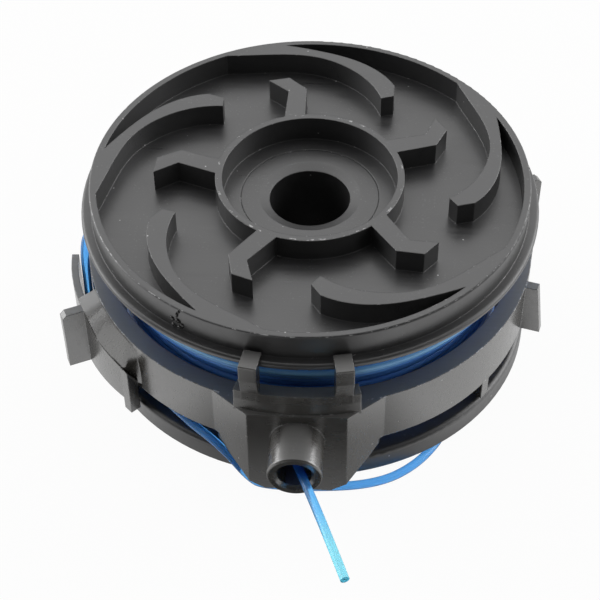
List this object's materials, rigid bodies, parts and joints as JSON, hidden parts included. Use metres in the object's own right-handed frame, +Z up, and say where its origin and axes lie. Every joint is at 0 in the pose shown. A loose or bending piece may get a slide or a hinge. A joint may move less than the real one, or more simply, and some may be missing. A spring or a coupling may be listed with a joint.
{
  "type": "trimmer line spool",
  "caption": "Black moulded trimmer line spool with a cam-vaned top, wound with blue nylon line, inside a free-turning guide ring with eyelets, hooks and spring arms.",
  "frame": {"origin": "on the spool's axis, at the underside of the foot", "axes": "+Z up along the spool's axis, -Y towards the front eyelet"},
  "size_m": [0.0892, 0.1311, 0.0376],
  "materials": {
    "spool_plastic": "fine moulded satin",
    "ring_plastic": "fine moulded satin",
    "wound_line": "drawn nylon, wound in close turns",
    "free_line": "drawn nylon, slightly translucent"
  },
  "bodies": {
    "spool": {"bobbin": "spool_plastic", "cam_plate": "spool_plastic", "line_winding": "wound_line"},
    "ring": {"guide_ring": "ring_plastic", "line_one_end": "free_line", "line_two_end": "free_line"}
  },
  "joints": [
    {"name": "ring_turn", "type": "hinge", "parent": "spool", "child": "ring", "pos_m": [0, 0, 0.016], "axis": [0, 0, 1], "continuous": true}
  ]
}
